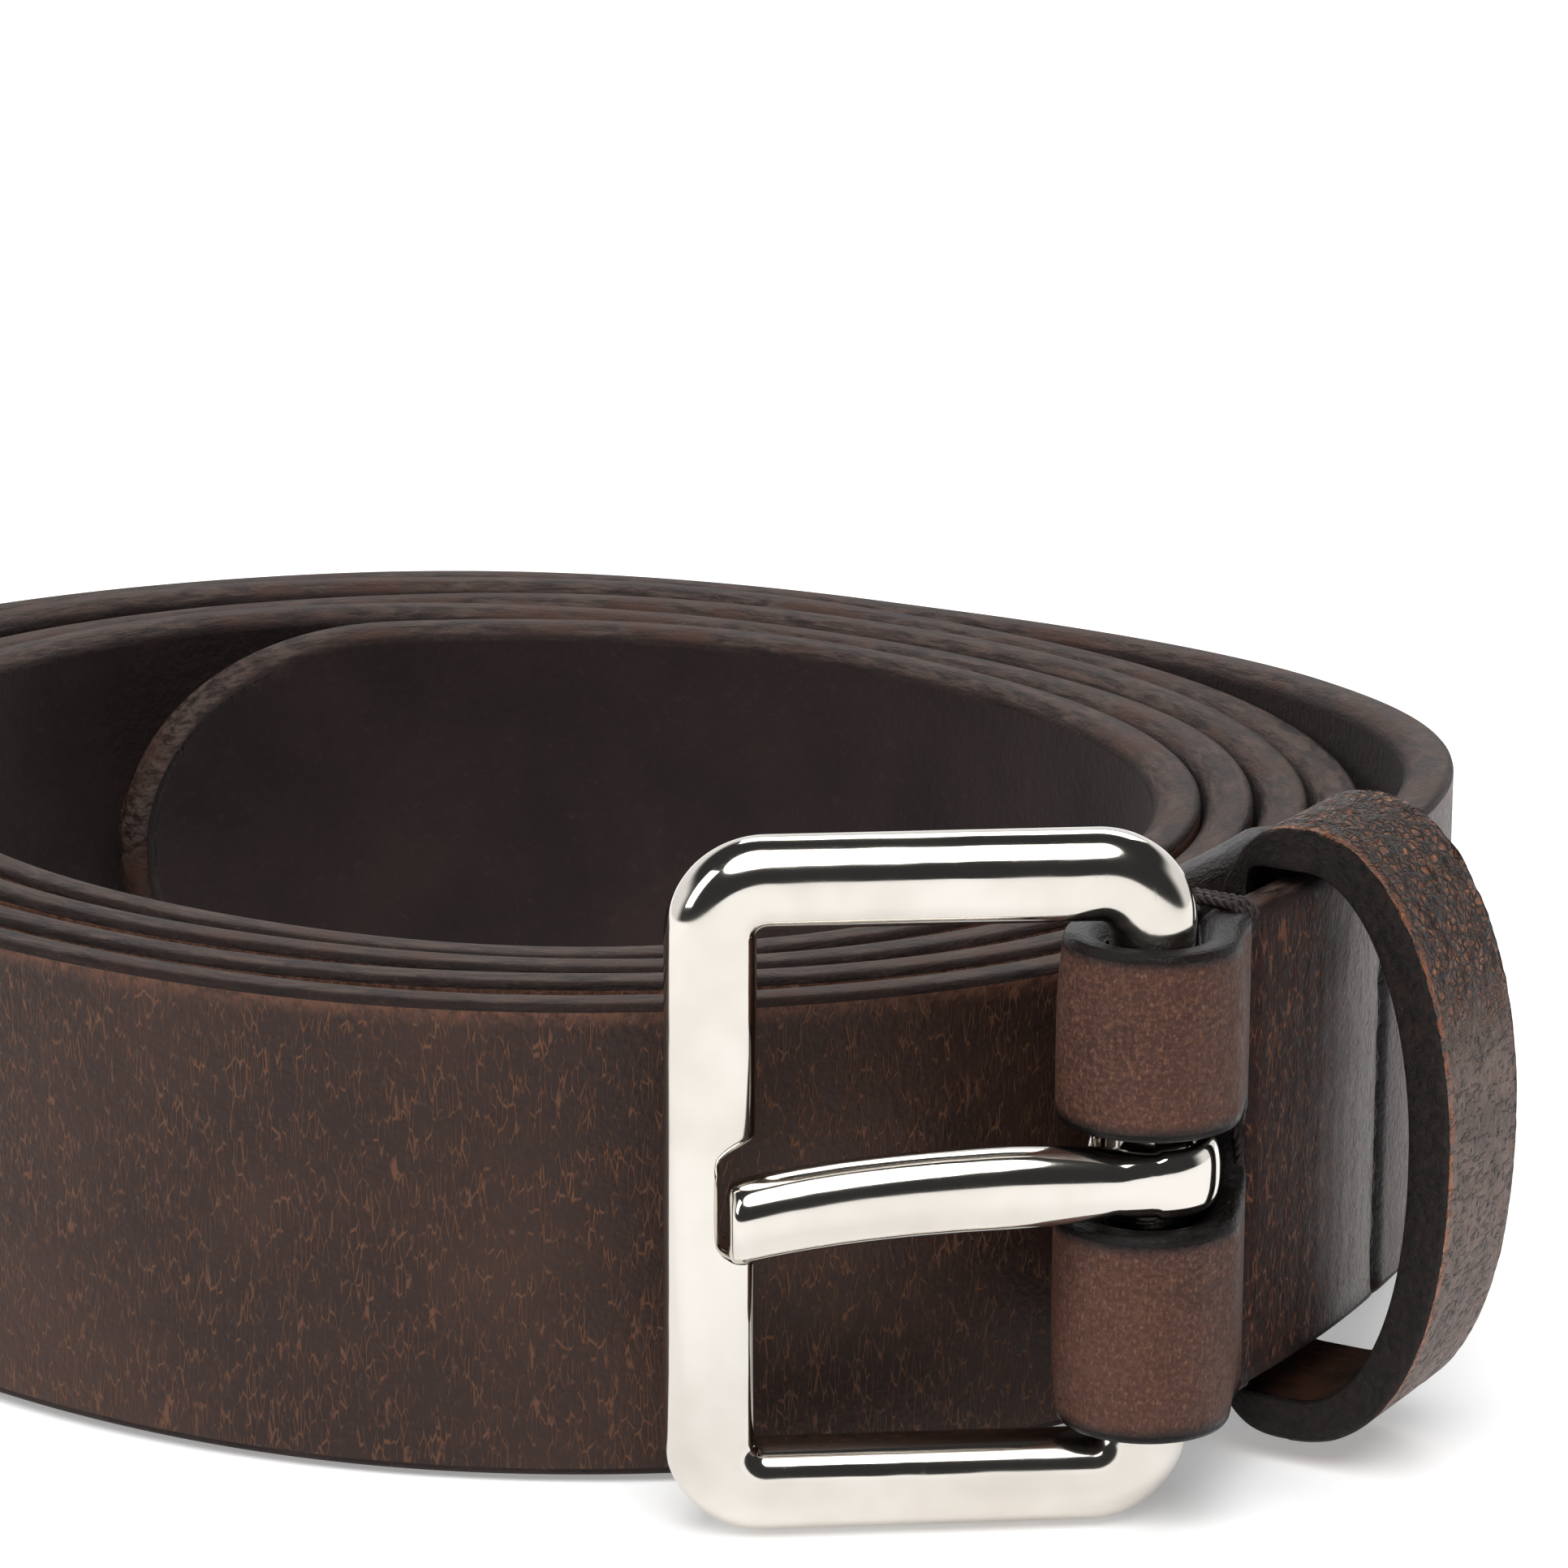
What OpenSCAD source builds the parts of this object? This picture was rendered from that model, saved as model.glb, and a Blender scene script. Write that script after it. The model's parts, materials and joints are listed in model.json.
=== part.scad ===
// Leather belt with a single-prong frame buckle, rolled into a coil that stands on its edge.
// Millimetres, +Z up. The coil's axis is vertical, the buckle hangs at the front (-Y) and right
// (+X) of the coil and rests on the same surface. The origin is the middle of the whole
// object's footprint, on that surface.

/* [Strap] */
// Width of the strap
strap_w = 25; // [22:1:32]
// Thickness of the leather
strap_t = 2.7; // [2.2:0.1:2.9]
// Length of the rounded tip
tip_len = 18; // [10:1:24]
// Distance from the tip to the first punched hole
first_hole = 110; // [90:5:120]
// Distance between punched holes
hole_step = 25; // [20:1:26]
// Number of punched holes
hole_count = 5; // [3:1:6]
// Radius of a punched hole
hole_r = 2.25; // [1.8:0.05:2.6]

/* [Coil] */
// Inner radius of the coil at the tip
coil_r = 33; // [30:0.5:38]
// Growth of the radius in one turn
turn_pitch = 3.02; // [3.01:0.01:3.2]
// How far the coil is squashed along one diagonal
coil_oval = 2; // [0:0.25:2.5]
// Azimuth of the tip
tip_az = 135; // [125:5:150]

/* [Buckle] */
// Height of the buckle frame
buckle_h = 35.5; // [34:0.5:42]
// Distance from the heel bar to the front bar
buckle_reach = 21.6; // [20:0.1:23]
// Width of the frame's bars
bar_w = 4.5; // [4:0.1:5]
// Depth of the frame, front to back
frame_depth = 4; // [3.6:0.1:4.4]
// Radius of the heel bar
heel_r = 2.1; // [1.8:0.05:2.2]
// Direction in which the frame points from its heel bar
buckle_dir = 185; // [183:1:188]

/* [Prong] */
// Height of the prong's eye
eye_h = 3.5; // [3.2:0.1:4.2]
// Thickness of the eye's wall
eye_wall = 1.45; // [1.2:0.05:1.6]
// Height of the prong's shaft and tip
prong_h = 4.1; // [3.4:0.1:4.3]

/* [Keeper] */
// Width of the keeper band, along the strap
keeper_w = 9; // [7:0.5:9.5]
// Thickness of the keeper band
keeper_t = 2.2; // [1.8:0.1:2.3]
// How far the keeper stands out from the middle of the strap
keeper_out = 9.7; // [8:0.1:12]
// Height of the keeper band
keeper_h = 32.2; // [31:0.1:33]

/* [Hidden] */

LEATHER = [0.20, 0.13, 0.11];
NICKEL = [0.80, 0.78, 0.74];
THREAD = [0.12, 0.08, 0.07];

turns_before_exit = 4;       // whole turns from the tip to the turn that leaves the coil
exit_az = 15;                // azimuth at which the last turn leaves the coil
tip_gap = 3;                 // the stiff tip holds the turn behind it this far off
outer_gap = 2;               // and the turns outside that one a little further
ring_step = 6;               // degrees between the rings of the coil
skin = 0.1;                  // gap between the two layers where they are sewn together

// Heel bar and sewn pinch, measured from the coil's axis
heel_x = 30.8;
heel_y = -51.3;
pinch_dir = 54;              // direction in which the strap leaves the pinch
pinch_dist = 5.7;            // heel bar's axis to the front stitch row
pinch_side = 0.75;           // how far the outer layer's middle sits outward of that line
fold_t = 2.3;                // the leather's thickness in the fold, where it is thinned to bend
heel_gap = 0.2;              // play between the heel bar and the leather
row_gap = 16.5;              // distance between the two stitch rows
tail_len = 20;               // length of the turned-back end behind the front row
tail_t = 1.7;                // its thickness, skived down from the fold's
pocket_gap = 2.85;           // room between the layers for the keeper
pocket_ramp = 2.3;           // length over which that room opens

lift = (buckle_h - strap_w) / 2;   // height of the strap's lower edge at the buckle
lift_start = 102;                  // the strap starts to rise this far before the pinch
lift_end = 12;                     // and has risen fully this far before it

function dir(a) = [cos(a), sin(a)];
function right_of(a) = [sin(a), -cos(a)];
function left_normal(v) = [-v[1], v[0]] / norm(v);
function smooth(x) = let (c = max(0, min(1, x))) c * c * (3 - 2 * c);
function rise(d) = lift * smooth((lift_start - d) / (lift_start - lift_end));

// Centre line of the coil: u is the winding angle from the tip, clockwise from above.
// The turns bulge where they pass the tip.
function bulge(u) =
    let (n = round((u + 5) / 360), x = u + 5 - 360 * n)
    n < 1 ? 0 : tip_gap * smooth(min(1 + x / 70, (85 - x) / 70))
                + (n < 3 ? 0 : outer_gap * smooth(1 - abs(x + 10) / 60));
function coil_radius(u) =
    coil_r + strap_t / 2 - coil_oval * sin(2 * (tip_az - u)) + turn_pitch * u / 360 + bulge(u);
function coil_point(u) = coil_radius(u) * dir(tip_az - u);

u_exit = tip_az - exit_az + 360 * turns_before_exit;

// The last turn runs from the coil to the pinch along one cubic curve
exit_pull = 51.5;
pinch_pull = 92;
heel = [heel_x, heel_y];
pinch_outer = heel + pinch_dist * dir(pinch_dir) + pinch_side * right_of(pinch_dir);
pinch_inner = pinch_outer - (strap_t / 2 + skin + fold_t / 2) * right_of(pinch_dir);
exit_point = coil_point(u_exit);
exit_step = coil_point(u_exit + 0.5) - coil_point(u_exit - 0.5);
exit_tangent = exit_pull * exit_step / norm(exit_step);
pinch_tangent = -pinch_pull * dir(pinch_dir);

function run_point(t) =
    (2 * pow(t, 3) - 3 * pow(t, 2) + 1) * exit_point
    + (pow(t, 3) - 2 * pow(t, 2) + t) * exit_tangent
    + (3 * pow(t, 2) - 2 * pow(t, 3)) * pinch_outer
    + (pow(t, 3) - pow(t, 2)) * pinch_tangent;
function run_way(t) =
    (6 * pow(t, 2) - 6 * t) * exit_point
    + (3 * pow(t, 2) - 4 * t + 1) * exit_tangent
    + (6 * t - 6 * pow(t, 2)) * pinch_outer
    + (3 * pow(t, 2) - 2 * t) * pinch_tangent;

run_n = 30;
run = [for (i = [0:run_n]) run_point(i / run_n)];
run_left = [for (i = [0:run_n])
    i == run_n ? 0 : norm(run[i + 1] - run[i])];
function sum_from(v, i) = i >= len(v) ? 0 : v[i] + sum_from(v, i + 1);
run_to_pinch = [for (i = [0:run_n]) sum_from(run_left, i)];
run_len = run_to_pinch[0];

// Curve parameter at a distance d before the pinch
function run_t(d) = lookup(d, [for (i = [0:run_n]) [run_to_pinch[run_n - i], 1 - i / run_n]]);

// The loop of leather round the heel bar
loop_r = heel_r + heel_gap + fold_t / 2;
function bearing(p) = atan2(p[1] - heel[1], p[0] - heel[0]);
loop_start = bearing(pinch_outer) - acos(loop_r / norm(pinch_outer - heel));
loop_end = bearing(pinch_inner) + acos(loop_r / norm(pinch_inner - heel)) - 360;
loop_n = 20;

// The turned-back end lies inside the outer layer and leaves a pocket for the keeper
function pocket(d) =
    pocket_gap * smooth(d / pocket_ramp) * smooth((row_gap - d) / pocket_ramp);
function tail_thick(d) = fold_t - (fold_t - tail_t) * smooth(d / 5);
function tail_point(d) =
    let (t = run_t(d), inward = -left_normal(run_way(t)))
    run_point(t) + (strap_t / 2 + skin + pocket(d) + tail_thick(d) / 2) * inward;
tail_n = 26;

// Centre line of the whole strap as [x, y, lower edge, upper edge, thickness]
tip_n = 9;
tip_turn = tip_len / coil_r * 180 / PI;
coil_n = ceil((u_exit - tip_turn) / ring_step);
tip_first = 10;
centre_line = concat(
    [for (i = [0:tip_n - 1])
        let (a = tip_first + (90 - tip_first) * i / tip_n,
             p = coil_point(tip_turn * (1 - cos(a))))
        [p[0], p[1], strap_w / 2 * (1 - sin(a)), strap_w / 2 * (1 + sin(a)), strap_t]],
    [for (i = [0:coil_n - 1])
        let (u = tip_turn + (u_exit - tip_turn) * i / coil_n, p = coil_point(u),
             z = rise(run_len + (u_exit - u) * PI / 180 * coil_radius(u)))
        [p[0], p[1], z, z + strap_w, strap_t]],
    [for (i = [0:run_n])
        let (z = rise(run_to_pinch[i]))
        [run[i][0], run[i][1], z, z + strap_w, strap_t]],
    [for (i = [0:loop_n])
        let (p = heel + loop_r * dir(loop_start + (loop_end - loop_start) * i / loop_n))
        [p[0], p[1], lift, lift + strap_w, fold_t]],
    [for (i = [0:tail_n])
        let (d = tail_len * i / tail_n, p = tail_point(d), z = rise(d))
        [p[0], p[1], z, z + strap_w, tail_thick(d)]]);

function xy(p) = [p[0], p[1]];
line_n = len(centre_line);
function line_normal(i) =
    left_normal(xy(centre_line[min(i + 1, line_n - 1)]) - xy(centre_line[max(i - 1, 0)]));
strap_sides = [for (i = [0:line_n - 1])
    let (c = xy(centre_line[i]), n = line_normal(i) * centre_line[i][4] / 2)
    [c + n, c - n]];

// Keeper: a closed band round the outer layer, in the plane square to the strap there
keeper_at = 9.3;             // middle of the keeper, before the pinch
keeper_t0 = run_t(keeper_at);
keeper_dir = atan2(-run_way(keeper_t0)[1], -run_way(keeper_t0)[0]);
keeper_mid = run_point(keeper_t0);
keeper_back = -(strap_t / 2 + 0.45 + keeper_t);  // back face of the band, behind the outer layer
keeper_crown = 1.5;                              // the band is tallest this far out
keeper_foot = 1.1;                               // height of its lowest point
keeper_n = 28;                                   // points on each half of the outline

function pow_signed(v, e) = sign(v) * pow(abs(v), e);
// One face of the band as [outward, height], drawn in by the distance s. The exponent is 2 for
// an ellipse and higher for squarer corners; the back fits closely round the strap.
function keeper_outline(s, square) = concat(
    [for (i = [0:keeper_n])
        let (a = -90 + 180 * i / keeper_n, e = a < 0 ? 2 / 2.3 : 2 / 2)
        [keeper_crown + (keeper_out - keeper_crown - s) * pow_signed(cos(a), e),
         (keeper_h / 2 - s) * pow_signed(sin(a), e)]],
    [for (i = [1:keeper_n - 1])
        let (a = 90 + 180 * i / keeper_n)
        [keeper_crown + (keeper_crown - keeper_back - s) * pow_signed(cos(a), 2 / square),
         (keeper_h / 2 - s) * pow_signed(sin(a), 2 / square)]]);

// Frame and prong share axes in which +X runs from the heel bar to the front bar and +Y is the
// frame's front
frame_z = buckle_h / 2;
corner_r = 2.7;              // centre-line radius of the frame's corners
bar_r = bar_w / 2;
prong_lift = 0.45;           // the prong sits this far above the middle of the frame
slot_lift = 0.65;            // and the slot in the fold this far above it
prong_drop = 1.35;           // and its tip hangs this far lower
eye_gap = 0.06;              // running clearance of the eye on the heel bar
eye_r = heel_r + eye_gap + eye_wall;
notch_h = 5.8;               // notch in the front bar's inner side, for the prong's tip
notch_z = -0.25;
notch_left = 0.45;           // distance from the front bar's middle to the notch's wall
tip_y = 2.9;                 // how far the tip's middle lies in front of the frame's
prong_end = buckle_reach - notch_left - 0.2;
prong_bow = 0.9;             // how far the prong bows forward of a straight line
shaft_back = 1.6;            // half the shaft's depth

// Prong centre line: x along the frame, y forward, z up, then half its depth and height
function prong_ring(s) =
    [prong_end * s,
     eye_r - shaft_back + (tip_y - eye_r + shaft_back) * s + prong_bow * sin(180 * pow(s, 0.8)),
     1.2 * s * (1 - s) - prong_drop * pow(s, 3),
     shaft_back + 0.25 * pow(s, 2),
     prong_h / 2 - (prong_h - eye_h + 0.3) / 2 * smooth(1 - s / 0.35)];

// Where the whole object sits: its footprint's middle is the origin
function turn(p, a) = [p[0] * cos(a) - p[1] * sin(a), p[0] * sin(a) + p[1] * cos(a)];
keeper_corners = [for (q = keeper_outline(0, 3), e = [-0.5, 0.5])
    keeper_mid + q[0] * right_of(keeper_dir) + e * keeper_w * dir(keeper_dir)];
prong_front = [for (i = [0:20])
    let (r = prong_ring(i / 20)) heel + turn([r[0], r[1] + r[3]], buckle_dir)];
strap_faces = [for (s = strap_sides) each s];
reach = concat(strap_faces, keeper_corners, prong_front);
x_low = min([for (p = reach) p[0]]);
x_high = max([for (p = reach) p[0]]);
y_low = min([for (p = reach) p[1]]);
y_high = max([for (p = reach) p[1]]);
coil_at = [-(x_low + x_high) / 2, -(y_low + y_high) / 2, 0];

// A tube or bar swept through rings of points, with flat ends
module swept(rings) {
    k = len(rings[0]);
    m = len(rings);
    points = [for (r = rings) each r];
    sides = [for (i = [0:m - 2], j = [0:k - 1])
        [i * k + j, i * k + (j + 1) % k, (i + 1) * k + (j + 1) % k, (i + 1) * k + j]];
    ends = [[for (j = [0:k - 1]) k - 1 - j], [for (j = [0:k - 1]) (m - 1) * k + j]];
    polyhedron(points, concat(sides, ends));
}

module strap_blank() {
    swept([for (i = [0:line_n - 1])
        let (a = strap_sides[i][0], b = strap_sides[i][1], c = centre_line[i])
        [[a[0], a[1], c[2]], [b[0], b[1], c[2]], [b[0], b[1], c[3]], [a[0], a[1], c[3]]]]);
}

// Punched holes, through the innermost turn only
module punched_holes() {
    through = strap_t + 0.24;
    for (i = [0:hole_count - 1]) {
        u = (first_hole + i * hole_step) / (coil_r + strap_t / 2) * 180 / PI;
        rotate([0, 0, tip_az - u])
            translate([coil_radius(u), 0, strap_w / 2])
                rotate([0, 90, 0]) cylinder(h = through, r = hole_r, center = true, $fn = 32);
    }
}

// Slot in the loop, in which the prong's eye sits and swings
module prong_slot() {
    slot_h = eye_h + 1.3;
    slot_end = 3;
    translate([heel_x, heel_y, frame_z + slot_lift]) rotate([0, 0, pinch_dir]) {
        translate([slot_end / 2 - 5, 0, 0]) cube([slot_end + 10, 16, slot_h], center = true);
        translate([slot_end, 0, 0])
            rotate([90, 0, 0]) cylinder(h = 16, r = slot_h / 2, center = true, $fn = 32);
    }
}

module strap() {
    color(LEATHER) translate(coil_at) difference() {
        strap_blank();
        punched_holes();
        prong_slot();
    }
}

module at_heel() {
    translate(coil_at + [heel_x, heel_y, frame_z]) rotate([0, 0, buckle_dir]) children();
}

// A bar of the frame along +X or +Z, from one corner's start to the other's
module frame_corner(x, z, a) {
    translate([x, 0, z]) rotate([90, a, 0])
        rotate_extrude(angle = 90, $fn = 48) translate([corner_r, 0]) circle(r = bar_r, $fn = 32);
}

module frame_ring() {
    top = buckle_h / 2 - bar_r;
    span = buckle_reach - 2 * corner_r;
    for (s = [-1, 1]) {
        translate([corner_r, 0, s * top])
            rotate([0, 90, 0]) cylinder(h = span, r = bar_r, $fn = 32);
    }
    translate([buckle_reach, 0, corner_r - top])
        cylinder(h = 2 * (top - corner_r), r = bar_r, $fn = 32);
    frame_corner(buckle_reach - corner_r, top - corner_r, 0);
    frame_corner(corner_r, top - corner_r, -90);
    frame_corner(corner_r, corner_r - top, 180);
    frame_corner(buckle_reach - corner_r, corner_r - top, 90);
}

// The notch in the front bar's inner side, in which the prong's tip rests
module prong_notch() {
    corner = 1.6;
    wall = buckle_reach - notch_left;
    for (s = [-1, 1]) {
        translate([wall - corner, 0, notch_z + s * (notch_h / 2 - corner)])
            rotate([90, 0, 0]) cylinder(h = 10, r = corner, center = true, $fn = 32);
    }
    translate([wall - 2, 0, notch_z]) cube([4, 10, notch_h - 2 * corner], center = true);
    translate([wall - corner - 2, 0, notch_z]) cube([4, 10, notch_h], center = true);
}

module buckle_frame() {
    color(NICKEL) at_heel() {
        difference() {
            intersection() {
                frame_ring();
                cube([100, frame_depth, 100], center = true);
            }
            prong_notch();
        }
        cylinder(h = buckle_h - 2 * bar_r - 2 * corner_r + 1, r = heel_r, center = true,
                 $fn = 32);
    }
}

module prong() {
    sides = 16;
    steps = 16;
    color(NICKEL) at_heel() translate([0, 0, prong_lift]) difference() {
        union() {
            cylinder(h = eye_h, r = eye_r, center = true, $fn = 32);
            swept([for (i = [0:steps])
                let (e = max(0, i - steps + 4) / 4,
                     s = i > steps - 5 ? 1 - 0.09 * pow(1 - e, 2) : 0.91 * i / (steps - 4),
                     r = prong_ring(s), k = sqrt(1 - 0.7 * pow(e, 3)))
                [for (j = [0:sides - 1])
                    let (a = 360 * j / sides)
                    [r[0], r[1] + k * r[3] * cos(a), r[2] - k * r[4] * sin(a)]]]);
        }
        cylinder(h = eye_h + 2, r = heel_r + eye_gap, center = true, $fn = 32);
    }
}

module at_keeper() {
    translate(coil_at + [keeper_mid[0], keeper_mid[1], keeper_foot + keeper_h / 2])
        rotate([0, 0, keeper_dir]) rotate([90, 0, 90]) mirror([1, 0, 0]) children();
}

// The band's two ends meet behind the outer layer, held by the staple
module keeper_loop() {
    joint_gap = 0.15;
    color(LEATHER) at_keeper() difference() {
        linear_extrude(height = keeper_w, center = true) difference() {
            polygon(keeper_outline(0, 3));
            polygon(keeper_outline(keeper_t, 14));
        }
        translate([keeper_back, 0, 0])
            cube([3 * keeper_t, joint_gap, keeper_w + 1], center = true);
    }
}

module keeper_staple() {
    wire = 0.6;
    crown = 5;
    leg = keeper_t - 0.5;
    face = keeper_back + keeper_t;
    color(NICKEL) at_keeper() {
        translate([face - 0.15, 0, 0]) cube([wire, crown, wire], center = true);
        for (s = [-1, 1]) {
            translate([face - leg / 2, s * (crown - wire) / 2, 0])
                cube([leg, wire, wire], center = true);
        }
    }
}

// One row of saddle stitches: runs on both faces, joined through the leather
module stitch_row(d) {
    thread_r = 0.35;
    stitch = 3;
    count = 7;
    t = run_t(d);
    p = run_point(t);
    a = atan2(-run_way(t)[1], -run_way(t)[0]);
    outer_y = -strap_t / 2;
    inner_y = strap_t / 2 + skin + tail_thick(d);
    low = rise(d) + (strap_w - count * stitch) / 2;
    color(THREAD) translate(coil_at + [p[0], p[1], low]) rotate([0, 0, a]) {
        for (y = [outer_y, inner_y]) {
            translate([0, y, 0]) cylinder(h = count * stitch, r = thread_r, $fn = 16);
        }
        for (i = [0:count]) {
            translate([0, outer_y, i * stitch])
                rotate([-90, 0, 0]) cylinder(h = inner_y - outer_y, r = thread_r, $fn = 16);
        }
    }
}

module stitch_row_front() {
    stitch_row(0);
}

module stitch_row_rear() {
    stitch_row(row_gap);
}

strap();
buckle_frame();
prong();
keeper_loop();
keeper_staple();
stitch_row_front();
stitch_row_rear();
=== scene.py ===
"""A leather belt rolled into a standing coil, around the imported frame. Metres, +Z up.

Shapes are worked out in millimetres from the coil's axis and turned into metres by to_world.
"""
import json
import math

import bmesh
import bpy
import numpy as np
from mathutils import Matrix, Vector, noise


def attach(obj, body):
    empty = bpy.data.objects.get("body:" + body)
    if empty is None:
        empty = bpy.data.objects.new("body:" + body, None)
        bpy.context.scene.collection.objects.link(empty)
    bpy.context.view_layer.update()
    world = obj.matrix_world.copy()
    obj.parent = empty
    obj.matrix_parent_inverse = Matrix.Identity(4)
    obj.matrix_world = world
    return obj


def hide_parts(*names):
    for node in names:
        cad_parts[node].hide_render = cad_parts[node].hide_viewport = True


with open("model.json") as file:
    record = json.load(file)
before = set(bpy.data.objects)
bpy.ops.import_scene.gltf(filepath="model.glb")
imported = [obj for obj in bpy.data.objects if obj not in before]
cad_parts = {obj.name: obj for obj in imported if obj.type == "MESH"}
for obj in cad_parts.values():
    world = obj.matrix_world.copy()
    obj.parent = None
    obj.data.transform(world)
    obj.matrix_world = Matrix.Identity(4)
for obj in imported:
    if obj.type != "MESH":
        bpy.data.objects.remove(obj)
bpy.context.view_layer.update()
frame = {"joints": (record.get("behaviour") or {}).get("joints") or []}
scene = bpy.context.scene

# ---------------------------------------------------------------- the strap's path, as in the CAD
DEG = math.pi / 180
STRAP_W, STRAP_T = 25.0, 2.7
TIP_LEN = 18.0
COIL_R, PITCH, OVAL, TIP_AZ = 33.0, 3.02, 2.0, 135.0
TIP_GAP, OUTER_GAP = 3.0, 2.0
EXIT_U = TIP_AZ - 15.0 + 4 * 360         # degrees wound from the tip to where the strap leaves
EXIT_PULL, PINCH_PULL = 51.5, 92.0
HEEL = np.array([30.8, -51.3])
HEEL_R, HEEL_PLAY = 2.1, 0.2
PINCH_DIR, PINCH_DIST, PINCH_SIDE = 54.0, 5.7, 0.75
SKIN, ROW_GAP, TAIL_LEN, TAIL_T, FOLD_T = 0.1, 16.5, 20.0, 1.7, 2.3
POCKET_GAP, POCKET_RAMP = 2.85, 2.3
BUCKLE_H, BUCKLE_REACH, BUCKLE_DIR = 35.5, 21.6, 185.0
LIFT = (BUCKLE_H - STRAP_W) / 2
CLIMB_FROM, CLIMB_LEN = 102.0, 90.0
SLOT_H, SLOT_END, SLOT_LIFT = 4.8, 3.0, 0.65

hinge = next(j for j in frame["joints"] if j["name"] == "frame_hinge")
ORIGIN = np.array(hinge["pos_m"][:2]) * 1000 - HEEL


def to_world(p):
    """Millimetres from the coil's axis to metres in the row frame."""
    p = np.asarray(p, float)
    return (p + np.array([ORIGIN[0], ORIGIN[1], 0.0])) / 1000


def smooth(x):
    """A soft step from 0 at 0 to 1 at 1."""
    c = np.clip(x, 0, 1)
    return c * c * (3 - 2 * c)


def bell(x, width):
    """A soft hump, 1 at 0."""
    return np.exp(-(x / width) ** 2)


def heading(a):
    return np.array([np.cos(a * DEG), np.sin(a * DEG)])


def right_of(a):
    return np.array([np.sin(a * DEG), -np.cos(a * DEG)])


def coil_radius(u):
    """Radius of the strap's middle, u degrees from the tip. The turns bulge as they pass the tip."""
    n = np.round((u + 5) / 360)
    x = u + 5 - 360 * n
    bulge = np.where(n < 1, 0, TIP_GAP * smooth(np.minimum(1 + x / 70, (85 - x) / 70))
                     + np.where(n < 3, 0, OUTER_GAP * smooth(1 - abs(x + 10) / 60)))
    return COIL_R + STRAP_T / 2 - OVAL * np.sin(2 * (TIP_AZ - u) * DEG) + PITCH * u / 360 + bulge


def coil_point(u):
    return coil_radius(u)[:, None] * heading(TIP_AZ - u).T


pinch_outer = HEEL + PINCH_DIST * heading(PINCH_DIR) + PINCH_SIDE * right_of(PINCH_DIR)
pinch_inner = pinch_outer - (STRAP_T / 2 + SKIN + FOLD_T / 2) * right_of(PINCH_DIR)
exit_pair = coil_point(np.array([EXIT_U - 0.5, EXIT_U, EXIT_U + 0.5]))
exit_pull = EXIT_PULL * (exit_pair[2] - exit_pair[0]) / np.linalg.norm(exit_pair[2] - exit_pair[0])
pinch_pull = -PINCH_PULL * heading(PINCH_DIR)


def unit(v):
    return v / np.linalg.norm(v, axis=-1, keepdims=True)


def left_of(v):
    return unit(np.stack([-v[..., 1], v[..., 0]], -1))


def run_point(t):
    """The strap's middle from where it leaves the coil (t = 0) to the buckle's fold (t = 1)."""
    t = np.atleast_1d(t)[:, None]
    return ((2 * t**3 - 3 * t**2 + 1) * exit_pair[1] + (t**3 - 2 * t**2 + t) * exit_pull
            + (3 * t**2 - 2 * t**3) * pinch_outer + (t**3 - t**2) * pinch_pull)


def run_way(t):
    t = np.atleast_1d(t)[:, None]
    return ((6 * t**2 - 6 * t) * exit_pair[1] + (3 * t**2 - 4 * t + 1) * exit_pull
            + (6 * t - 6 * t**2) * pinch_outer + (3 * t**2 - 2 * t) * pinch_pull)


run_ts = np.linspace(0, 1, 600)
run_steps = np.linalg.norm(np.diff(run_point(run_ts), axis=0), axis=1)
run_left = np.r_[np.cumsum(run_steps[::-1])[::-1], 0]
RUN_LEN = run_left[0]


def run_t(d):
    """The place on the run that lies d before the fold."""
    return np.interp(d, run_left[::-1], run_ts[::-1])


def rise(d):
    """Height of the lower edge, d before the fold: the strap climbs to the buckle's middle."""
    return LIFT * smooth((CLIMB_FROM - d) / CLIMB_LEN)


def tail_thick(d):
    """Thickness of the turned-back tail, d behind the fold."""
    return FOLD_T - (FOLD_T - TAIL_T) * smooth(d / 5)


def build_path():
    """Dense rows [x, y, lower edge, thickness, zone] along the strap's centre line, tip first."""
    u = np.arange(0, EXIT_U, 0.5)
    p = coil_point(u)
    rest = RUN_LEN + (EXIT_U - u) * DEG * coil_radius(u)
    rows = [np.c_[p, rise(rest), np.full(len(u), STRAP_T), rest]]
    t = np.linspace(0, 1, 300)
    d = np.interp(t, run_ts, run_left)
    rows.append(np.c_[run_point(t), rise(d), np.full(300, STRAP_T), d])
    loop_r = HEEL_R + HEEL_PLAY + FOLD_T / 2

    def tangent(p, side):
        v = p - HEEL
        return math.atan2(v[1], v[0]) / DEG + side * math.acos(loop_r / np.linalg.norm(v)) / DEG

    a0, a1 = tangent(pinch_outer, -1), tangent(pinch_inner, 1) - 360
    a = np.linspace(a0, a1, 60)
    rows.append(np.c_[HEEL + loop_r * heading(a).T, np.tile([LIFT, FOLD_T, 0.0], (len(a), 1))])
    d = np.linspace(0, TAIL_LEN, 120)
    t = run_t(d)
    thick = tail_thick(d)
    pocket = POCKET_GAP * smooth(d / POCKET_RAMP) * smooth((ROW_GAP - d) / POCKET_RAMP)
    inward = -left_of(run_way(t))
    p = run_point(t) + (STRAP_T / 2 + SKIN + pocket + thick / 2)[:, None] * inward
    rows.append(np.c_[p, rise(d), thick, -d])
    all_rows = np.concatenate(rows)
    s = np.r_[0, np.cumsum(np.linalg.norm(np.diff(all_rows[:, :2], axis=0), axis=1))]
    keep = np.r_[True, np.diff(s) > 1e-4]
    return s[keep], all_rows[keep]


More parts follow.
